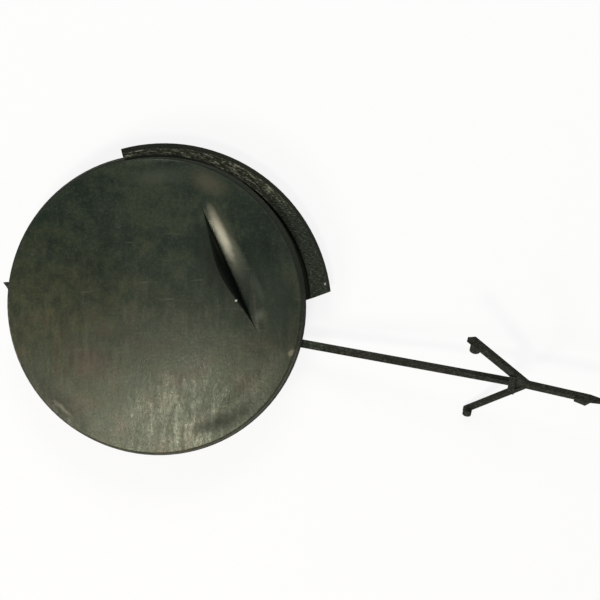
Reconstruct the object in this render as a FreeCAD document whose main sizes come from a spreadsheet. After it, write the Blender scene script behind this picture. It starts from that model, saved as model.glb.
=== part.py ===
import FreeCAD, Part
import math
import os
import re

import Sketcher

NODE = "tow_hook_cover"

# Driving dimensions in millimetres and degrees.
# Angles run from -180 to 180, counterclockwise from +X, seen from the face side.
SIZES = {
    # round cover: a domed face plate with a drafted rim, on a thinner skirt
    "cap_radius": 34.0,
    "cap_depth": 11.0,
    "dome_rise": 2.6,
    "face_wall": 2.4,
    "rim_height": 2.6,
    "rim_draft": 0.7,
    "rim_round": 0.7,
    "skirt_inset": 2.6,
    "skirt_wall": 1.8,
    # thumb recess pressed into the face
    "dent_angle": 24.0,
    "dent_reach": 19.1,
    "dent_offset": 1.4,
    "dent_length": 27.6,
    "dent_depth": 1.8,
    "dent_inner_width": 4.0,
    "dent_outer_width": 5.6,
    "dent_runout": 0.25,
    "dent_backing": 1.3,
    "dent_backing_width": 6.0,
    "dent_rounding": 3.0,
    # hooking lip behind the bumper skin: an off-centre arc with a bevelled outer edge
    "lip_level": 5.0,
    "lip_thickness": 2.0,
    "lip_proud": 4.15,
    "lip_shift_across": 1.3,
    "lip_shift_down": 1.55,
    "lip_start_angle": 2.1,
    "lip_start_slant": 18.2,
    "lip_finish_angle": 103.1,
    "lip_finish_slant": 6.5,
    "bevel_drop": 0.9,
    "bevel_narrow": 0.4,
    "bevel_wide": 1.3,
    # groove along the lip's root, off-centre too
    "groove_inset": 0.4,
    "groove_shift_across": 1.26,
    "groove_shift_down": 0.38,
    "groove_depth": 1.1,
    # relief of the rim beside the lip, concentric with it
    "relief_proud": 0.8,
    "relief_width": 1.9,
    "relief_drop": 0.4,
    "relief_angle": 67.0,
    "relief_span": 71.0,
    # pry bevel on the rim
    "pry_angle": -140.0,
    "pry_span": 29.6,
    "pry_trim": 0.45,
    "pry_width": 2.0,
    "pry_drop": 0.45,
    # locating claw at skirt level and the snap hooks opposite the lip
    "claw_angle": 172.2,
    "claw_proud": 2.35,
    "claw_width": 4.0,
    "claw_thickness": 1.8,
    "hook_angle": -160.0,
    "hook_spread": 60.0,
    "hook_width": 7.0,
    "hook_proud": 1.5,
    "hook_height": 2.6,
    # ribs that stiffen the face from behind
    "rib_thickness": 1.4,
    "rib_height": 3.6,
    "rib_ring_radius": 14.0,
    # tether: a thin bar from the skirt to the anchor
    "tether_exit_angle": -15.3,
    "tether_heading": -9.1,
    "tether_rise": 6.95,
    "tether_level": 4.6,
    "tether_length": 51.1,
    "tether_root_width": 1.7,
    "tether_root_height": 1.7,
    "tether_end_width": 1.35,
    "root_boss_width": 3.6,
    "root_boss_height": 3.4,
    "root_boss_proud": 1.4,
    # anchor: two barbs swept back and a tapered tail, turned about the tether
    "anchor_turn": 45.0,
    "anchor_thickness": 1.3,
    "apex_ahead": 3.2,
    "upper_barb_angle": 137.5,
    "upper_barb_length": 18.1,
    "upper_barb_width": 1.6,
    "upper_foot_diameter": 2.3,
    "upper_foot_setback": 2.0,
    "upper_foot_height": 2.1,
    "lower_barb_angle": -134.7,
    "lower_barb_length": 18.4,
    "lower_barb_width": 1.0,
    "lower_foot_diameter": 2.0,
    "lower_foot_setback": 1.1,
    "lower_foot_height": 1.8,
    "tail_angle": -4.0,
    "tail_length": 16.4,
    "tail_width": 1.4,
    "tail_tip_width": 0.4,
    "tail_taper": 2.6,
    "tail_foot_start": 10.6,
    "tail_foot_length": 3.6,
    "tail_foot_height": 1.1,
    "cross_length": 1.5,
    "cross_thickness": 1.9,
}

doc = FreeCAD.newDocument("cover")
sheet = doc.addObject("Spreadsheet::Sheet", "sizes")
for row, (alias, value) in enumerate(SIZES.items(), start=1):
    sheet.set(f"A{row}", alias)
    sheet.set(f"B{row}", str(value))
    sheet.setAlias(f"B{row}", alias)
doc.recompute()

ALIAS = re.compile(r"\b(" + "|".join(SIZES) + r")\b")

body = doc.addObject("PartDesign::Body", NODE)
body.Label = NODE


def formula(text):
    """A formula in the sheet's names, as an expression that any object can hold."""
    return ALIAS.sub(r"sizes.\1", str(text))


def number(text):
    """The value that a formula has now."""
    value = sheet.evalExpression(formula(text))
    return float(getattr(value, "Value", value))


def origin_plane(role):
    for feature in body.Origin.OriginFeatures:
        if feature.Role == role:
            return feature
    raise ValueError(role)


def sketch_on(support, mode, name):
    sketch = body.newObject("Sketcher::SketchObject", name)
    sketch.AttachmentSupport = [(support, "")]
    sketch.MapMode = mode
    return sketch


def flat_sketch(name, level):
    """A sketch parallel to the floor at the given level."""
    sketch = sketch_on(origin_plane("XY_Plane"), "FlatFace", name)
    sketch.setExpression("AttachmentOffset.Base.z", formula(level))
    return sketch


def upright_sketch(name, angle):
    """A sketch in the half plane through the cover's axis at the given angle."""
    sketch = sketch_on(origin_plane("XZ_Plane"), "FlatFace", name)
    sketch.AttachmentOffset = FreeCAD.Placement(
        FreeCAD.Vector(0, 0, 0), FreeCAD.Rotation(FreeCAD.Vector(0, 1, 0), number(angle)))
    sketch.setExpression("AttachmentOffset.Rotation.Angle", formula(angle))
    return sketch


def arc_between(start, finish, radius):
    """The arc under half a turn from start to finish; a negative radius turns clockwise."""
    if radius < 0:
        start, finish = finish, start
    chord = finish - start
    side = FreeCAD.Vector(-chord.y, chord.x, 0).normalize()
    centre = (start + finish) * 0.5 + side * math.sqrt(radius ** 2 - (chord.Length / 2) ** 2)
    first = math.atan2(start.y - centre.y, start.x - centre.x)
    last = math.atan2(finish.y - centre.y, finish.x - centre.x)
    circle = Part.Circle(centre, FreeCAD.Vector(0, 0, 1), abs(radius))
    return Part.ArcOfCircle(circle, first, last)


def outline(sketch, corners, arcs=None):
    """Close a wire through corners, each a pair of formulas, bound to the sheet.

    arcs maps a corner's place in the list to the radius formula of the edge that leaves it.
    """
    arcs = arcs or {}
    points = [FreeCAD.Vector(number(x), number(y), 0) for x, y in corners]
    ends = []
    for place, start in enumerate(points):
        finish = points[(place + 1) % len(points)]
        if place in arcs:
            edge = sketch.addGeometry(arc_between(start, finish, number(arcs[place])), False)
            clockwise = number(arcs[place]) < 0
            ends.append((edge, 2, 1) if clockwise else (edge, 1, 2))
            bound = sketch.addConstraint(Sketcher.Constraint("Radius", edge, abs(number(arcs[place]))))
            sketch.setExpression(f"Constraints[{bound}]", formula(f"abs({arcs[place]})"))
        else:
            edge = sketch.addGeometry(Part.LineSegment(start, finish), False)
            ends.append((edge, 1, 2))
    for place, (edge, first, _) in enumerate(ends):
        before, _, last = ends[place - 1]
        sketch.addConstraint(Sketcher.Constraint("Coincident", before, last, edge, first))
        for kind, value in zip(("DistanceX", "DistanceY"), corners[place]):
            bound = sketch.addConstraint(Sketcher.Constraint(kind, -1, 1, edge, first, number(value)))
            sketch.setExpression(f"Constraints[{bound}]", formula(value))


def rectangle(sketch, left, right, low, high):
    outline(sketch, [(left, low), (right, low), (right, high), (left, high)])


def round_outline(sketch, x, y, radius):
    centre = FreeCAD.Vector(number(x), number(y), 0)
    circle = sketch.addGeometry(Part.Circle(centre, FreeCAD.Vector(0, 0, 1), number(radius)), False)
    for kind, ends, value in (("DistanceX", (-1, 1, circle, 3), x),
                              ("DistanceY", (-1, 1, circle, 3), y),
                              ("Radius", (circle,), radius)):
        bound = sketch.addConstraint(Sketcher.Constraint(kind, *ends, number(value)))
        sketch.setExpression(f"Constraints[{bound}]", formula(value))


def feature(kind, name, sketch, **formulas):
    made = body.newObject(f"PartDesign::{kind}", name)
    made.Profile = sketch
    for prop, text in formulas.items():
        made.setExpression(prop, formula(text))
    return made


def pad(name, sketch, length, both_ways=False):
    made = feature("Pad", name, sketch, Length=length)
    if both_ways:
        made.SideType = "Symmetric"
    return made


def turned(kind, name, sketch, axis, angle="360"):
    made = feature(kind, name, sketch, Angle=angle)
    made.ReferenceAxis = (sketch, [axis])
    return made


def polar(radius, angle):
    return f"({radius}) * cos({angle})", f"({radius}) * sin({angle})"


# The dome is part of a sphere through the face edge, and its inside is parallel to it.
face_radius = "(cap_radius - rim_draft)"
dome_top = "(cap_depth + dome_rise)"
dome_radius = f"((({face_radius})^2 + dome_rise^2) / (2 * dome_rise))"
skirt_outside = "(cap_radius - skirt_inset)"
skirt_inside = f"({skirt_outside} - skirt_wall)"


def dome_height(reach, wall="0"):
    """Height of the dome at a distance from the axis, a wall's thickness below its face."""
    return f"({dome_top} - {dome_radius} + sqrt(({dome_radius} - ({wall}))^2 - ({reach})^2))"


# The rounded corner between the drafted rim and the dome: its two ends lie a tangent's length
# from the sharp corner.
rim_side = "sqrt(rim_draft^2 + rim_height^2)"
dome_slope_sine = f"({face_radius} / {dome_radius})"
dome_slope_cosine = f"sqrt(1 - {dome_slope_sine}^2)"
corner_cosine = f"((-rim_draft * {dome_slope_cosine} - rim_height * {dome_slope_sine}) / {rim_side})"
tangent_length = f"(rim_round * sqrt((1 + {corner_cosine}) / (1 - {corner_cosine})))"
rounding_reach = f"({face_radius} - {tangent_length} * {dome_slope_cosine})"

# Cover: the whole section turned about the axis, hollow and open at the back.
section = upright_sketch("cover_section", "0")
outline(section, [
    ("0", dome_top),
    ("0", f"{dome_top} - face_wall"),
    (skirt_inside, dome_height(skirt_inside, "face_wall")),
    (skirt_inside, "0"),
    (skirt_outside, "0"),
    (skirt_outside, "cap_depth - rim_height"),
    ("cap_radius", "cap_depth - rim_height"),
    (f"{face_radius} + {tangent_length} * rim_draft / {rim_side}",
     f"cap_depth - {tangent_length} * rim_height / {rim_side}"),
    (rounding_reach, dome_height(rounding_reach)),
], arcs={1: f"-({dome_radius} - face_wall)", 7: "rim_round", 8: dome_radius})
turned("Revolution", "cover", section, "V_Axis")


def rim_cut(name, angle, span, radius, width, drop, top, across="0", down="0"):
    """Trim the rim to a radius and bevel the face down to it, about an axis of its own.

    The bevel starts at the level top, a width inside the trimmed edge, and is rounded over.
    """
    section = upright_sketch(f"{name}_section", angle)
    section.setExpression("AttachmentOffset.Base.x", formula(across))
    section.setExpression("AttachmentOffset.Base.z", formula(down))
    turn_in = f"({top} - {drop} * ({width} - rim_round) / {width})"
    outside = f"({radius} + 2 * {width})"
    outline(section, [
        (f"{radius} - 2 * {width}", f"{top} + {drop}"),
        (f"{radius} - rim_round", turn_in),
        (radius, f"{turn_in} - 1.2 * rim_round"),
        (radius, "cap_depth - 1.2 * rim_height"),
        (outside, "cap_depth - 1.2 * rim_height"),
        (outside, f"{top} + {drop}"),
    ], arcs={1: "-1.3 * rim_round"})
    cut = turned("Groove", name, section, "V_Axis", span)
    cut.Midplane = True


# Relief of the rim beside the lip: it fades out along the lip and ends in a step.
relief_radius = "(cap_radius + relief_proud)"
relief_end = "(relief_angle + relief_span / 2)"
relief_off = f"(lip_shift_across * cos{relief_end} - lip_shift_down * sin{relief_end})"
rim_cut("lip_relief", "relief_angle", "relief_span", relief_radius, "relief_width", "relief_drop",
        dome_height(f"{relief_radius} - relief_width + {relief_off}"), "lip_shift_across", "lip_shift_down")

# Pry bevel: a run of the rim that a tool can get under.
pry_radius = "(cap_radius - pry_trim)"
rim_cut("pry_bevel", "pry_angle", "pry_span", pry_radius, "pry_width", "pry_drop",
        dome_height(f"{pry_radius} - pry_width"))

# Lip: an arc that hooks behind the bumper skin, wider at one end, with slanted ends.
# Its outer edge is bevelled: the top outline's arc is smaller and lies further off.
lip_root = f"({skirt_outside} - skirt_wall / 2)"
lip_radius = "(cap_radius + lip_proud)"


def lip_corner(angle, slant, shrink, across, down):
    """Where a slanted end meets the outer arc of the lip.

    The end starts on the cover's widest circle at angle and turns off the radius by slant.
    """
    start_x, start_y = polar("cap_radius", angle)
    turn = f"({angle} + {slant})"
    off_x = f"({start_x} - lip_shift_across - ({across}))"
    off_y = f"({start_y} + lip_shift_down + ({down}))"
    along = f"({off_x} * cos{turn} + {off_y} * sin{turn})"
    reach = f"(sqrt(({along})^2 - {off_x}^2 - {off_y}^2 + ({lip_radius} - ({shrink}))^2) - {along})"
    return f"{start_x} + {reach} * cos{turn}", f"{start_y} + {reach} * sin{turn}"


def lip_root_corner(angle, slant):
    """Where a slanted end, drawn back, meets the circle in the middle of the skirt's wall."""
    start_x, start_y = polar("cap_radius", angle)
    turn = f"({angle} + {slant})"
    back = f"(cap_radius * cos({slant}) - sqrt({lip_root}^2 - (cap_radius * sin({slant}))^2))"
    return f"{start_x} - {back} * cos{turn}", f"{start_y} - {back} * sin{turn}"


def lip_outline(sketch, shrink, across, down):
    outline(sketch, [
        lip_root_corner("lip_start_angle", "lip_start_slant"),
        lip_corner("lip_start_angle", "lip_start_slant", shrink, across, down),
        lip_corner("lip_finish_angle", "lip_finish_slant", shrink, across, down),
        lip_root_corner("lip_finish_angle", "lip_finish_slant"),
    ], arcs={1: f"{lip_radius} - ({shrink})", 3: f"-{lip_root}"})


bevel_foot = "lip_level - bevel_drop"
lip_sketch = flat_sketch("lip_outline", "lip_level - lip_thickness")
lip_outline(lip_sketch, "0", "0", "0")
pad("lip", lip_sketch, "lip_thickness - bevel_drop")

# The bevel is narrow at the end by the tether and wide at the far end.
bevel_mean = "(bevel_narrow + bevel_wide) / 2"
bevel_shift = "(bevel_wide - bevel_narrow) / 2"
bevel_low = flat_sketch("bevel_low_outline", bevel_foot)
lip_outline(bevel_low, "0", "0", "0")
bevel_high = flat_sketch("bevel_high_outline", "lip_level")
lip_outline(bevel_high, bevel_mean, bevel_shift, bevel_shift)
bevel = body.newObject("PartDesign::AdditiveLoft", "lip_bevel")
bevel.Profile = bevel_low
bevel.Sections = [bevel_high]
bevel.Ruled = True

# Groove: an arc sunk along the lip's root, so that the lip can give a little.
channel = flat_sketch("groove_outline", "lip_level")
round_outline(channel, "groove_shift_across", "-groove_shift_down", "cap_radius - groove_inset")
round_outline(channel, "0", "0", skirt_outside)
feature("Pocket", "lip_groove", channel, Length="groove_depth")

# Claw: a pointed tooth that shows past the rim, its leading side parallel to X.
claw = flat_sketch("claw_outline", "lip_level - claw_thickness")
claw_x, claw_y = (f"({value})" for value in polar("cap_radius + claw_proud", "claw_angle"))
outline(claw, [
    (f"-sqrt({lip_root}^2 - {claw_y}^2)", claw_y),
    (claw_x, claw_y),
    (f"{claw_x} + claw_width / 4", f"{claw_y} - claw_width / 3"),
    (f"{claw_x} + claw_width / 2", f"{claw_y} - claw_width"),
    (f"-sqrt({lip_root}^2 - ({claw_y} - claw_width)^2)", f"{claw_y} - claw_width"),
])
pad("claw", claw, "claw_thickness")

# Snap hooks: ramped noses on the skirt opposite the lip, hidden under the rim.
hook = upright_sketch("hook_section", "hook_angle")
outline(hook, [
    (lip_root, "lip_level - hook_height"),
    (skirt_outside, "lip_level - hook_height"),
    (f"{skirt_outside} + hook_proud", "lip_level - 0.3 * hook_height"),
    (f"{skirt_outside} + hook_proud", "lip_level"),
    (lip_root, "lip_level"),
])
hook_nose = pad("snap_hook", hook, "hook_width", both_ways=True)
hooks = body.newObject("PartDesign::PolarPattern", "snap_hooks")
hooks.Originals = [hook_nose]
hooks.Axis = (origin_plane("Z_Axis"), [""])
hooks.setExpression("Angle", formula("hook_spread"))
hooks.Occurrences = 2
body.Tip = hooks

# Ribs behind the face: a ring and four spokes, sunk a little into the face.
rib_bury = "face_wall / 2"
ring = upright_sketch("rib_ring_section", "0")
ring_inside = "rib_ring_radius - rib_thickness"
outline(ring, [
    (ring_inside, f"{dome_height(ring_inside, 'face_wall')} - rib_height"),
    ("rib_ring_radius", f"{dome_height(ring_inside, 'face_wall')} - rib_height"),
    ("rib_ring_radius", dome_height("rib_ring_radius", rib_bury)),
    (ring_inside, dome_height(ring_inside, rib_bury)),
])
turned("Revolution", "rib_ring", ring, "V_Axis")

spoke = upright_sketch("spoke_section", "45")
outline(spoke, [
    ("rib_ring_radius - rib_thickness / 2", f"{dome_height(ring_inside, 'face_wall')} - rib_height"),
    (lip_root, f"{dome_height(ring_inside, 'face_wall')} - rib_height"),
    (lip_root, dome_height(lip_root, rib_bury)),
    ("rib_ring_radius - rib_thickness / 2", dome_height("rib_ring_radius", rib_bury)),
], arcs={2: f"{dome_radius} - {rib_bury}"})
spoke_rib = pad("spoke", spoke, "rib_thickness", both_ways=True)
spokes = body.newObject("PartDesign::PolarPattern", "spokes")
spokes.Originals = [spoke_rib]
spokes.Axis = (origin_plane("Z_Axis"), [""])
spokes.Angle = 360
spokes.Occurrences = 4
body.Tip = spokes

# Thumb recess: a valley turned about a level axis above the face, so that it runs out at
# both ends. Its crease lies square to the radius. A thicker strip backs it.
face_fall = f"({dome_height('dent_reach')} - {dome_height('sqrt(dent_reach^2 + (dent_length / 2)^2)')})"
valley_sag = f"(dent_depth - {face_fall})"
valley_radius = f"(((dent_length / 2)^2 + {valley_sag}^2) / (2 * {valley_sag}))"
crease_height = f"({dome_height('dent_reach')} - dent_depth)"
valley_axis_height = f"({crease_height} + {valley_radius})"


def valley_sketch(name, corners, arcs=None):
    """A section across the recess, with its turning axis as the one construction line."""
    sketch = upright_sketch(name, "dent_angle")
    outline(sketch, corners, arcs)
    sketch.setExpression("AttachmentOffset.Base.x", formula("-dent_offset * sin(dent_angle)"))
    sketch.setExpression("AttachmentOffset.Base.z", formula("-dent_offset * cos(dent_angle)"))
    left = FreeCAD.Vector(0, number(valley_axis_height), 0)
    right = FreeCAD.Vector(number("dent_reach"), number(valley_axis_height), 0)
    axis = sketch.addGeometry(Part.LineSegment(left, right), True)
    for end, x in ((1, "0"), (2, "dent_reach")):
        for kind, value in (("DistanceX", x), ("DistanceY", valley_axis_height)):
            bound = sketch.addConstraint(Sketcher.Constraint(kind, -1, 1, axis, end, number(value)))
            sketch.setExpression(f"Constraints[{bound}]", formula(value))
    return sketch


backing = valley_sketch("recess_backing_section", [
    ("dent_reach - dent_backing_width / 2", crease_height),
    ("dent_reach - dent_backing_width / 4", f"{crease_height} - dent_backing"),
    ("dent_reach + dent_backing_width / 4", f"{crease_height} - dent_backing"),
    ("dent_reach + dent_backing_width / 2", crease_height),
])
valley_span = f"(2 * asin(dent_length / 2 / {valley_radius}))"
backing_strip = turned("Revolution", "recess_backing", backing, "Axis0", f"0.8 * {valley_span}")
backing_strip.Midplane = True

inner_edge = "dent_reach - dent_inner_width"
outer_edge = "dent_reach + dent_outer_width"


def flank_radius(width, rise):
    """A flank that starts level, just clear of the face, and falls to the crease along an arc."""
    return f"(({width})^2 + ({rise})^2) / (2 * ({rise}))"


inner_rise = f"({dome_height(inner_edge)} - {crease_height} + dent_runout)"
outer_rise = f"({dome_height(outer_edge)} - {crease_height} + dent_runout)"
valley = valley_sketch("recess_section", [
    ("dent_reach", crease_height),
    (outer_edge, f"{crease_height} + {outer_rise}"),
    (outer_edge, f"{crease_height} + {outer_rise} + 2 * dent_depth"),
    (inner_edge, f"{crease_height} + {inner_rise} + 2 * dent_depth"),
    (inner_edge, f"{crease_height} + {inner_rise}"),
], arcs={0: f"-({flank_radius('dent_outer_width', outer_rise)})",
         4: f"-({flank_radius('dent_inner_width', inner_rise)})"})
recess = turned("Groove", "recess", valley, "Axis0", f"2 * {valley_span}")
recess.Midplane = True
doc.recompute()


def outer_recess_edges(shape):
    """Names of the edges where the recess's outer flank comes up to the dome."""
    names = []
    turn = math.radians(number("dent_angle"))
    outward = FreeCAD.Vector(math.cos(turn), math.sin(turn), 0)
    sideways = FreeCAD.Vector(-math.sin(turn), math.cos(turn), 0)
    for place, edge in enumerate(shape.Edges, start=1):
        kinds = {type(face.Surface) for face in shape.ancestorsOfType(edge, Part.Face)}
        middle = edge.valueAt((edge.FirstParameter + edge.LastParameter) / 2)
        if kinds == {Part.Sphere, Part.Toroid} and abs(middle.dot(sideways)) < number("dent_length / 2"):
            if number("dent_reach") < middle.dot(outward) < number(outer_edge):
                names.append(f"Edge{place}")
    return names


soft_side = body.newObject("PartDesign::Fillet", "recess_rounding")
soft_side.Base = (recess, outer_recess_edges(recess.Shape))
soft_side.setExpression("Radius", formula("dent_rounding"))

# Tether: a thin bar from a boss on the skirt, twisting into the plane of the anchor.
root_x, root_y = polar(lip_root, "tether_exit_angle")
heading = "cos(tether_rise) * {0}(tether_heading)"
ahead = "(tether_length + apex_ahead)"


def frame_at(name, x, y, z, turn):
    """A coordinate system whose X runs along the tether, turned about it."""
    frame = body.newObject("PartDesign::CoordinateSystem", name)
    frame.AttachmentSupport = [(origin_plane("XY_Plane"), "")]
    frame.MapMode = "FlatFace"
    place = f"placement(vector({x}; {y}; {z}); rotation(tether_heading; -tether_rise; {turn}))"
    frame.setExpression("AttachmentOffset", formula(place))
    return frame


root_frame = frame_at("tether_root", root_x, root_y, "tether_level", "0")
anchor_frame = frame_at(
    "anchor_apex",
    f"{root_x} + {ahead} * {heading.format('cos')}",
    f"{root_y} + {ahead} * {heading.format('sin')}",
    f"tether_level + {ahead} * sin(tether_rise)",
    "anchor_turn")
doc.recompute()

boss = sketch_on(root_frame, "ObjectYZ", "root_boss_outline")
rectangle(boss, "-root_boss_width / 2", "root_boss_width / 2",
          "-root_boss_height / 2", "root_boss_height / 2")
root_boss = pad("root_boss", boss, "skirt_wall / 2 + root_boss_proud")

root_section = sketch_on(root_frame, "ObjectYZ", "tether_root_section")
rectangle(root_section, "-tether_root_width / 2", "tether_root_width / 2",
          "-tether_root_height / 2", "tether_root_height / 2")
end_section = sketch_on(anchor_frame, "ObjectYZ", "tether_end_section")
end_section.setExpression("AttachmentOffset.Base.z", formula("-apex_ahead"))
rectangle(end_section, "-tether_end_width / 2", "tether_end_width / 2",
          "-anchor_thickness / 2", "anchor_thickness / 2")
tether = body.newObject("PartDesign::AdditiveLoft", "tether")
tether.Profile = root_section
tether.Sections = [end_section]
tether.Ruled = True


def anchor_sketch(name, angle):
    """A sketch in the anchor's plane with its X along one arm."""
    sketch = sketch_on(anchor_frame, "ObjectXY", name)
    sketch.AttachmentOffset = FreeCAD.Placement(
        FreeCAD.Vector(0, 0, 0), FreeCAD.Rotation(FreeCAD.Vector(0, 0, 1), number(angle)))
    sketch.setExpression("AttachmentOffset.Rotation.Angle", formula(angle))
    return sketch


def barb(name):
    """A straight arm with a slanted tip and a round foot that stands off its face."""
    angle, length, width = f"{name}_barb_angle", f"{name}_barb_length", f"{name}_barb_width"
    arm = anchor_sketch(f"{name}_barb_outline", angle)
    low_end, high_end = f"{length} - {width} / 2", length
    if name == "lower":
        low_end, high_end = high_end, low_end
    outline(arm, [
        ("0", f"-{width} / 2"),
        (low_end, f"-{width} / 2"),
        (high_end, f"{width} / 2"),
        ("0", f"{width} / 2"),
    ])
    pad(f"{name}_barb", arm, "anchor_thickness", both_ways=True)
    foot = anchor_sketch(f"{name}_foot_outline", angle)
    round_outline(foot, f"{length} - {name}_foot_setback", "0", f"{name}_foot_diameter / 2")
    pad(f"{name}_foot", foot, f"{name}_foot_height")


# The cross piece ties both barbs where the tether ends, with a thin web before it.
cross = anchor_sketch("cross_outline", "0")
upper_reach = "(apex_ahead * tan(180 - upper_barb_angle))"
lower_reach = "(apex_ahead * tan(lower_barb_angle - 180))"
rectangle(cross, "-apex_ahead - cross_length / 2", "-apex_ahead + cross_length / 2",
          f"-{lower_reach}", upper_reach)
pad("cross", cross, "cross_thickness", both_ways=True)
web = anchor_sketch("web_outline", "0")
outline(web, [("0", "0"), ("-apex_ahead", upper_reach), ("-apex_ahead", f"-{lower_reach}")])
pad("web", web, "anchor_thickness / 2", both_ways=True)

barb("upper")
barb("lower")

tail_outline = anchor_sketch("tail_outline", "tail_angle")
outline(tail_outline, [
    ("-tail_width / 2", "-tail_width / 2"),
    ("tail_length - tail_taper", "-tail_width / 2"),
    ("tail_length", "-tail_tip_width / 2"),
    ("tail_length", "tail_tip_width / 2"),
    ("tail_length - tail_taper", "tail_width / 2"),
    ("-tail_width / 2", "tail_width / 2"),
])
pad("tail", tail_outline, "anchor_thickness", both_ways=True)

# The tail's foot is a ramp that drops off steeply towards the tip.
ramp = sketch_on(anchor_frame, "ObjectXZ", "tail_foot_section")
ramp.AttachmentOffset = FreeCAD.Placement(
    FreeCAD.Vector(0, 0, 0), FreeCAD.Rotation(FreeCAD.Vector(0, 1, 0), number("tail_angle")))
ramp.setExpression("AttachmentOffset.Rotation.Angle", formula("tail_angle"))
ramp_face = "anchor_thickness / 2 + tail_foot_height"
outline(ramp, [
    ("tail_foot_start", "0"),
    ("tail_foot_start + tail_foot_length", "0"),
    ("tail_foot_start + tail_foot_length", "anchor_thickness / 2"),
    ("tail_foot_start + 0.7 * tail_foot_length", ramp_face),
    ("tail_foot_start", f"{ramp_face} - tail_foot_height / 2"),
])
pad("tail_foot", ramp, "0.9 * tail_width", both_ways=True)

doc.recompute()
for made in doc.Objects:
    if "Invalid" in made.State or "Error" in made.State:
        raise RuntimeError(f"{made.Label}: {made.State} {made.getStatusString()}")
shape = body.Shape
if shape.isNull() or not shape.isValid() or len(shape.Solids) != 1:
    raise RuntimeError(f"{NODE}: not one valid solid")
os.makedirs("parts", exist_ok=True)
shape.exportStep(f"parts/{NODE}.step")
print(NODE, "solids", len(shape.Solids), "volume", round(shape.Volume, 1))
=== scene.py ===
import math

import bpy
from mathutils import Matrix, Vector

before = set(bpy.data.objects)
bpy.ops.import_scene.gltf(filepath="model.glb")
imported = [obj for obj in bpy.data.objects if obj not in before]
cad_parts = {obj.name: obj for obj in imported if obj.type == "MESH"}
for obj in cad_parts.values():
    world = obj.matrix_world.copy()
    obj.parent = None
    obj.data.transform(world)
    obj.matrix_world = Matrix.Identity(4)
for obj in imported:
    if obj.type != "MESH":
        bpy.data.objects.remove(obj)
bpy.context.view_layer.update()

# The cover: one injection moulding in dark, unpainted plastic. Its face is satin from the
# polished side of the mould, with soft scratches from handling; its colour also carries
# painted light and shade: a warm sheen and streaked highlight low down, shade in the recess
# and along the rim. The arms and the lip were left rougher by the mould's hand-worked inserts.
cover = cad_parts["tow_hook_cover"]
cap_radius = 0.0340
dome_top, dome_radius = 0.0136, 0.21455
lip_level = 0.0050
crease_turn, crease_reach, recess_depth = math.radians(24), 0.0191, 0.0018

plastic = bpy.data.materials.new("cover_plastic")
plastic.use_nodes = True
nodes = plastic.node_tree.nodes
links = plastic.node_tree.links
shader = nodes["Principled BSDF"]
place = nodes.new("ShaderNodeTexCoord")


def reckon(operation, first, second=0):
    """Arithmetic on two values, each a number or the output of a node."""
    node = nodes.new("ShaderNodeMath")
    node.operation = operation
    for socket, value in zip(node.inputs, (first, second)):
        if isinstance(value, (int, float)):
            socket.default_value = value
        else:
            links.new(value, socket)
    return node.outputs["Value"]


def plus(first, second):
    return reckon("ADD", first, second)


def minus(first, second):
    return reckon("SUBTRACT", first, second)


def times(first, second):
    return reckon("MULTIPLY", first, second)


def levels(value, low, high, to_low, to_high, course="LINEAR"):
    """A value taken from one range to another and held inside it."""
    ranged = nodes.new("ShaderNodeMapRange")
    ranged.interpolation_type = course
    links.new(value, ranged.inputs["Value"])
    for name, amount in (("From Min", low), ("From Max", high),
                         ("To Min", to_low), ("To Max", to_high)):
        ranged.inputs[name].default_value = amount
    return ranged.outputs["Result"]


# Where a point lies on the moulding, in metres: across, along and up, how far out from the
# axis, and how deep below the dome of the face. From that, a share from 0 to 1 says how much
# it belongs to the rim, the rough parts, the arms, and each side of the recess.
split = nodes.new("ShaderNodeSeparateXYZ")
links.new(place.outputs["Object"], split.inputs["Vector"])
across, along, height = split.outputs["X"], split.outputs["Y"], split.outputs["Z"]
reach = reckon("SQRT", plus(times(across, across), times(along, along)))
depth = minus(minus(dome_top, reckon("DIVIDE", times(reach, reach), 2 * dome_radius)), height)

# The rim's band of painted shade reaches further in at the top.
wider_above = levels(along, -0.010, 0.010, 0, 0.0006)
rim_part = levels(plus(reach, wider_above), 0.0333, 0.0337, 0, 1)
rough_part = levels(reach, cap_radius - 0.0001, cap_radius + 0.0002, 0, 1)
arm_part = levels(reach, 0.0385, 0.0395, 0, 1)
on_face = levels(depth, recess_depth + 0.0001, recess_depth + 0.0003, 1, 0)

sunk = times(levels(depth, 0.00005, 0.0004, 0, 1), levels(reach, 0.0315, 0.0325, 1, 0))
toward_lip = plus(times(across, math.cos(crease_turn)), times(along, math.sin(crease_turn)))
past_crease = minus(toward_lip, crease_reach)
steep_side = times(sunk, levels(past_crease, -0.0001, 0.0002, 1, 0))
soft_side = times(sunk, levels(past_crease, -0.0001, 0.0002, 0, 1))


def cloud(scale, detail, roughness, stretch=(1, 1, 1), turn=0.0):
    """Soft noise over the moulding, stretched and turned about the cover's axis."""
    mapping = nodes.new("ShaderNodeMapping")
    mapping.inputs["Scale"].default_value = stretch
    mapping.inputs["Rotation"].default_value = (0, 0, turn)
    links.new(place.outputs["Object"], mapping.inputs["Vector"])
    noise = nodes.new("ShaderNodeTexNoise")
    noise.inputs["Scale"].default_value = scale
    noise.inputs["Detail"].default_value = detail
    noise.inputs["Roughness"].default_value = roughness
    links.new(mapping.outputs["Vector"], noise.inputs["Vector"])
    return noise.outputs["Fac"]


def shades(value, *stops):
    """A colour ramp through pairs of a place and a colour."""
    ramp = nodes.new("ShaderNodeValToRGB")
    elements = ramp.color_ramp.elements
    while len(elements) < len(stops):
        elements.new(0.5)
    for element, (where, colour) in zip(elements, stops):
        element.position = where
        element.color = (*colour, 1)
    links.new(value, ramp.inputs["Fac"])
    return ramp.outputs["Color"]


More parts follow.
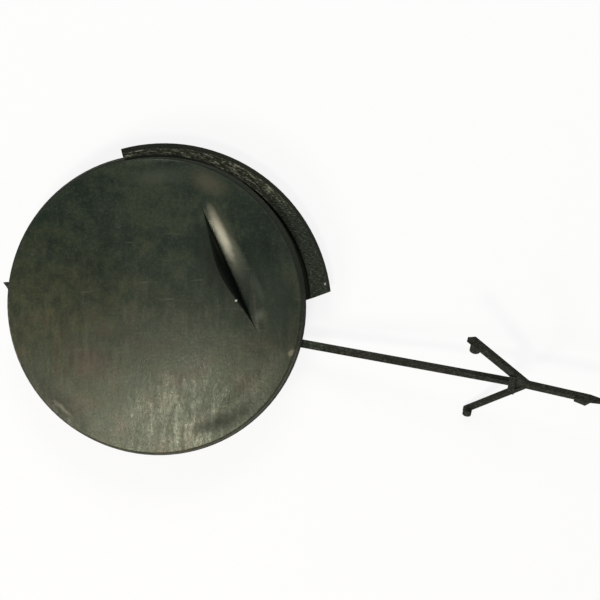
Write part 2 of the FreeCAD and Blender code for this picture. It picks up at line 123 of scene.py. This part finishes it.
def mix(share, first, second):
    """A blend of two colours, each written out or the output of a node."""
    node = nodes.new("ShaderNodeMix")
    node.data_type = "RGBA"
    links.new(share, node.inputs["Factor"])
    for socket, colour in zip((node.inputs[6], node.inputs[7]), (first, second)):
        if isinstance(colour, tuple):
            socket.default_value = (*colour, 1)
        else:
            links.new(colour, socket)
    return node.outputs[2]


# The face's colour: green-black plastic, clouded and mottled. It is painted lighter and more
# olive on the left as light from that side, and brown with pale streaks lower down as the warm
# sheen and streaked highlight of the front lamp.
mottle = cloud(330, 4, 0.6)
clouds = plus(times(cloud(60, 4, 0.6), 0.65), times(mottle, 0.35))
tone = shades(clouds,
              (0.39, (0.001, 0.006, 0.004)),
              (0.50, (0.005, 0.013, 0.009)),
              (0.60, (0.020, 0.027, 0.016)))
# painted light: mottled olive, lighter on the left where light falls from that side
on_the_left = times(levels(across, 0.008, -0.022, 0, 1), levels(along, 0.022, 0.002, 0.1, 1))
left_light_olive = times(on_the_left, levels(mottle, 0.36, 0.66, 0.15, 0.85))
tone = mix(left_light_olive, tone, (0.042, 0.044, 0.016))

# painted sheen: mottled brown lower down, standing in for the front lamp's warm sheen
lower_warm_sheen = times(levels(along, 0.010, -0.028, 0, 1), levels(cloud(95, 5, 0.65), 0.32, 0.62, 0.2, 1))
sheen_browns = shades(cloud(150, 3, 0.6),
               (0.40, (0.024, 0.028, 0.009)),
               (0.52, (0.042, 0.034, 0.012)),
               (0.62, (0.064, 0.031, 0.017)))
tone = mix(lower_warm_sheen, tone, sheen_browns)
streaks = cloud(330, 5, 0.7, stretch=(2.2, 0.45, 1), turn=-0.3)
streak_relief = times(minus(streaks, 0.5), levels(along, 0.004, -0.016, 0.3, 1))
# painted highlight: pale streaks lower down (the same streaks also vary the gloss and relief)
streaked_highlight = times(levels(streaks, 0.52, 0.72, 0, 0.6), levels(along, 0.015, -0.02, 0.04, 1))
tone = mix(streaked_highlight, tone, (0.075, 0.072, 0.048))

# Faint scratches from handling, in two directions, and a fine speckle of light and dark.
for turn, limit in ((0.9, 0.66), (-0.6, 0.68)):
    scratch = cloud(520, 3, 0.6, stretch=(0.25, 1.9, 1), turn=turn)
    tone = mix(levels(scratch, limit, limit + 0.1, 0, 0.6), tone, (0.075, 0.085, 0.068))
fine = cloud(1500, 4, 0.8)
tone = mix(levels(fine, 0.5, 0.68, 0, 0.4), tone, (0.060, 0.068, 0.046))
tone = mix(levels(fine, 0.5, 0.34, 0, 0.6), tone, (0.001, 0.004, 0.003))


def patch(x, y, length, width, turn, ragged=0.25):
    """A soft oval mark on the face: 1 in its middle and 0 at its edge, with a ragged outline."""
    mapping = nodes.new("ShaderNodeMapping")
    mapping.vector_type = "TEXTURE"
    mapping.inputs["Location"].default_value = (x, y, 0.012)
    mapping.inputs["Rotation"].default_value = (0, 0, math.radians(turn))
    mapping.inputs["Scale"].default_value = (length / 2, width / 2, 0.02)
    links.new(place.outputs["Object"], mapping.inputs["Vector"])
    size = nodes.new("ShaderNodeVectorMath")
    size.operation = "LENGTH"
    links.new(mapping.outputs["Vector"], size.inputs[0])
    spread = plus(size.outputs["Value"], levels(mottle, 0.3, 0.7, -ragged, ragged))
    return levels(spread, 1.0, 0.1, 0, 1, "SMOOTHSTEP")


# Marks on the face, from the first laid down to the last, each with its share and its colour:
# stains, painted shade and painted highlights, then painted shade in the recess with a painted
# highlight on its soft side, its steep side painted black as shade, and a few small nicks and
# specks.
for mark, share, colour in (
        # a brown patch above the recess, a dark patch beside it that is painted shade on the
        # dome, and a small pale one
        (patch(0.0123, 0.0277, 0.013, 0.006, -25), 0.5, (0.085, 0.072, 0.050)),
        (patch(0.0245, 0.0100, 0.015, 0.006, -60), 0.6, (0.004, 0.014, 0.009)),
        (patch(0.0240, -0.0016, 0.004, 0.003, 60), 0.7, (0.075, 0.090, 0.075)),
        # two dark runs low on the right: painted shade of the two dings there
        (patch(0.0135, -0.0262, 0.014, 0.0050, 24, 0.15), 0.95, (0.004, 0.005, 0.002)),
        (patch(0.0205, -0.0222, 0.020, 0.0060, 45, 0.2), 0.6, (0.010, 0.011, 0.006)),
        # a rust-brown blush low on the left, and painted shade along its edge where the dome
        # falls away
        (patch(-0.0150, -0.0130, 0.020, 0.012, -40), 0.4, (0.060, 0.031, 0.022)),
        (patch(-0.0222, -0.0216, 0.036, 0.0090, -45), 0.8, (0.010, 0.011, 0.005)),
        # painted shade along the right of the rim, and a painted highlight along its top
        (patch(0.0285, 0.0010, 0.022, 0.0110, 90), 0.8, (0.002, 0.009, 0.006)),
        (patch(0.0020, 0.0290, 0.020, 0.005, 5), 0.35, (0.060, 0.066, 0.050)),
        # the recess: painted shade on its inner edge, along its soft side and at its lower end, a
        # painted highlight and a paler band on its soft side, and painted black shade on its
        # steep side
        (patch(0.0152, 0.0080, 0.027, 0.0085, -64, 0.1), 0.9, (0.001, 0.003, 0.002)),
        (soft_side, 0.85, (0.002, 0.006, 0.004)),
        (patch(0.0206, 0.0030, 0.018, 0.0052, -68, 0.15), 0.9, (0.001, 0.003, 0.002)),
        (patch(0.0165, 0.0150, 0.021, 0.0060, -66, 0.15), 0.6, (0.090, 0.084, 0.056)),
        (patch(0.0154, 0.0164, 0.016, 0.0032, -66, 0.1), 0.95, (0.34, 0.32, 0.25)),
        (patch(0.0236, 0.0045, 0.010, 0.0022, -70), 0.5, (0.040, 0.052, 0.040)),
        (steep_side, 0.97, (0.001, 0.002, 0.002)),
        # a nick on the lower left edge, one by the tether, and a white speck in the recess
        (patch(-0.0200, -0.0238, 0.008, 0.0014, -41, 0.5), 0.8, (0.16, 0.15, 0.11)),
        (patch(0.0308, -0.0101, 0.0020, 0.0010, 60, 0.8), 0.6, (0.20, 0.19, 0.14)),
        (patch(0.0188, 0.0016, 0.0009, 0.0006, 30, 0), 1.0, (0.60, 0.60, 0.55))):
    tone = mix(times(times(mark, share), on_face), tone, colour)
# painted shade: the rim's edge and side darkened to near black
tone = mix(rim_part, tone, (0.005, 0.008, 0.005))

# The lip, the tether and the anchor: left rough by the cutter that swept round their mould.
# The lip is speckled and painted brighter towards its far end, as lit from above, its bevel is
# painted dark as shade, and a white speck sits on the end beside the tether.
sweep = nodes.new("ShaderNodeCombineXYZ")
links.new(reach, sweep.inputs["X"])
links.new(times(reckon("ARCTAN2", along, across), 0.006), sweep.inputs["Y"])
swept = nodes.new("ShaderNodeTexNoise")
swept.inputs["Scale"].default_value = 2600
swept.inputs["Detail"].default_value = 3
links.new(sweep.outputs["Vector"], swept.inputs["Vector"])
hatch = cloud(2600, 3, 0.65, stretch=(0.5, 1.6, 1), turn=0.7)
cut = plus(times(swept.outputs["Fac"], 0.5), times(hatch, 0.5))
dull_tone = shades(hatch,
                   (0.42, (0.004, 0.008, 0.005)),
                   (0.54, (0.016, 0.023, 0.016)),
                   (0.68, (0.080, 0.090, 0.070)))
# painted light: a paler copy of the lip's speckled tone, used towards its far end
lit_speckle_tone = shades(cut,
                   (0.42, (0.010, 0.012, 0.006)),
                   (0.52, (0.055, 0.058, 0.038)),
                   (0.62, (0.360, 0.360, 0.270)))
arm_tone = shades(hatch,
                  (0.40, (0.001, 0.001, 0.001)),
                  (0.52, (0.004, 0.004, 0.003)),
                  (0.66, (0.045, 0.041, 0.034)))
lip_tone = mix(levels(along, 0.020, 0.029, 0, 1), dull_tone, lit_speckle_tone)
# painted shade: the lip's bevel darkened
bevel_shade = levels(height, lip_level - 0.00004, lip_level - 0.00015, 0, 1)
lip_tone = mix(bevel_shade, lip_tone, (0.005, 0.007, 0.004))
tone = mix(rough_part, tone, mix(arm_part, lip_tone, arm_tone))
tone = mix(patch(0.0380, 0.0049, 0.0010, 0.0006, 70, 0), tone, (0.60, 0.60, 0.55))
links.new(tone, shader.inputs["Base Color"])

# Its gloss: satin, uneven with the clouds and the streaks, duller on two smudged places and
# dull on the rim's edge.
shader.inputs["Specular Tint"].default_value = (0.90, 0.98, 0.79, 1)
dullness = levels(plus(times(clouds, 0.3), streak_relief), 0.02, 0.30, 0.29, 0.45)
dullness = plus(dullness, levels(fine, 0.36, 0.64, 0.05, -0.05))
for part, more in (
        (patch(0.0160, -0.0250, 0.022, 0.0060, 24, 0.15), 0.14),
        (patch(-0.0222, -0.0216, 0.036, 0.0100, -45, 0.2), 0.16),
        (steep_side, -0.08),
        (rim_part, 0.5)):
    dullness = plus(dullness, times(part, more))
links.new(dullness, shader.inputs["Roughness"])

# Its relief: two shallow dings low on the right, the slight waves of a thin moulded wall with
# the rubbed streaks, and a grain that is coarse only on the rough parts.
dings = nodes.new("ShaderNodeBump")
dings.invert = True
dings.inputs["Distance"].default_value = 0.00022
lower_ding = patch(0.0128, -0.0242, 0.020, 0.0085, 22, 0.03)
upper_ding = patch(0.0206, -0.0200, 0.026, 0.0080, 50, 0.03)
links.new(plus(lower_ding, upper_ding), dings.inputs["Height"])
waves = nodes.new("ShaderNodeBump")
waves.inputs["Strength"].default_value = 0.5
waves.inputs["Distance"].default_value = 0.0005
links.new(plus(cloud(60, 2, 0.5), times(streak_relief, 0.16)), waves.inputs["Height"])
links.new(dings.outputs["Normal"], waves.inputs["Normal"])
grain = nodes.new("ShaderNodeBump")
grain.inputs["Distance"].default_value = 0.0001
links.new(levels(rough_part, 0, 1, 0.25, 0.9), grain.inputs["Strength"])
links.new(plus(times(cut, rough_part), fine), grain.inputs["Height"])
links.new(waves.outputs["Normal"], grain.inputs["Normal"])
links.new(grain.outputs["Normal"], shader.inputs["Normal"])
cover.material_slots[0].material = plastic

# The table it was photographed on: a plain white board that the cover lies on. The camera
# sees it as nearly pure white, and for all other light it is plain white paint.
bpy.ops.object.select_all(action="DESELECT")
bpy.ops.mesh.primitive_plane_add(size=3, location=(0, 0, 0))
board = bpy.context.object
board.name = "board"
white = bpy.data.materials.new("white_board")
white.use_nodes = True
board_nodes = white.node_tree.nodes
board_links = white.node_tree.links
paint = board_nodes["Principled BSDF"]
paint.inputs["Base Color"].default_value = (0.86, 0.86, 0.86, 1)
paint.inputs["Roughness"].default_value = 0.9
paint.inputs["Specular IOR Level"].default_value = 0.1
glow = board_nodes.new("ShaderNodeEmission")
glow.inputs["Color"].default_value = (1, 1, 1, 1)
glow.inputs["Strength"].default_value = 1
seen = board_nodes.new("ShaderNodeLightPath")
whiteness = board_nodes.new("ShaderNodeMath")
whiteness.operation = "MULTIPLY"
whiteness.inputs[1].default_value = 0.85
blend = board_nodes.new("ShaderNodeMixShader")
board_links.new(seen.outputs["Is Camera Ray"], whiteness.inputs[0])
board_links.new(whiteness.outputs["Value"], blend.inputs["Fac"])
board_links.new(paint.outputs["BSDF"], blend.inputs[1])
board_links.new(glow.outputs["Emission"], blend.inputs[2])
board_links.new(blend.outputs["Shader"], board_nodes["Material Output"].inputs["Surface"])
board.data.materials.append(white)

# The surroundings: a dim, plain room that is brighter in front, and plain white where the
# camera looks past the board.
world = bpy.data.worlds.new("studio")
world.use_nodes = True
sky_nodes = world.node_tree.nodes
sky_links = world.node_tree.links
toward = sky_nodes.new("ShaderNodeTexCoord")
facing = sky_nodes.new("ShaderNodeVectorMath")
facing.operation = "DOT_PRODUCT"
facing.inputs[1].default_value = Vector((-0.25, -1, 0.1)).normalized()
room = sky_nodes.new("ShaderNodeMapRange")
for name, amount in (("From Min", -0.3), ("From Max", 1.0),
                     ("To Min", 0.06), ("To Max", 0.55)):
    room.inputs[name].default_value = amount
sky_links.new(toward.outputs["Generated"], facing.inputs[0])
sky_links.new(facing.outputs["Value"], room.inputs["Value"])
onlooker = sky_nodes.new("ShaderNodeLightPath")
backdrop = sky_nodes.new("ShaderNodeMix")
backdrop.inputs[3].default_value = 1.0
sky_links.new(onlooker.outputs["Is Camera Ray"], backdrop.inputs[0])
sky_links.new(room.outputs["Result"], backdrop.inputs[2])
sky_links.new(backdrop.outputs[0], sky_nodes["Background"].inputs["Strength"])
sky_nodes["Background"].inputs["Color"].default_value = (1, 1, 1, 1)
bpy.context.scene.world = world


def soft_box(name, spot, width, height, power, colour):
    """A lamp behind a plain white sheet, turned towards the middle of the cover."""
    lamp = bpy.data.lights.new(name, "AREA")
    lamp.shape = "RECTANGLE"
    lamp.size = width
    lamp.size_y = height
    lamp.energy = power
    lamp.color = colour
    holder = bpy.data.objects.new(name, lamp)
    holder.location = spot
    holder.rotation_euler = Vector(spot).to_track_quat("Z", "Y").to_euler()
    bpy.context.collection.objects.link(holder)


# Studio light: a soft box high in front, a weaker one to the left, and a broad one behind.
soft_box("front_box", (-0.052, -0.285, 0.60), 0.12, 0.10, 1.75, (1.0, 0.95, 0.86))
soft_box("side_box", (-0.30, -0.32, 0.38), 0.12, 0.12, 1.2, (1.0, 0.97, 0.92))
soft_box("back_box", (0.06, 0.42, 0.36), 0.3, 0.2, 1.3, (1.0, 1.0, 0.97))

# Camera: nearly straight above the cover, leaning a little away to the upper right.
lean, bearing, distance = math.radians(6.057), math.radians(41.954), 0.3
aim = Vector((0.032727, 0.001612, 0.010))
back = Vector((math.sin(lean) * math.cos(bearing),
               math.sin(lean) * math.sin(bearing),
               math.cos(lean)))
right = Vector((0, 1, 0)).cross(back).normalized()
up = back.cross(right)
eye = aim + back * distance
lens = bpy.data.cameras.new("camera")
lens.lens = 81.11
lens.sensor_width = 36
lens.clip_start = 0.01
camera = bpy.data.objects.new("camera", lens)
camera.matrix_world = Matrix(((right.x, up.x, back.x, eye.x), (right.y, up.y, back.y, eye.y),
                              (right.z, up.z, back.z, eye.z), (0, 0, 0, 1)))
bpy.context.collection.objects.link(camera)
bpy.context.scene.camera = camera
bpy.context.scene.view_settings.view_transform = "Standard"
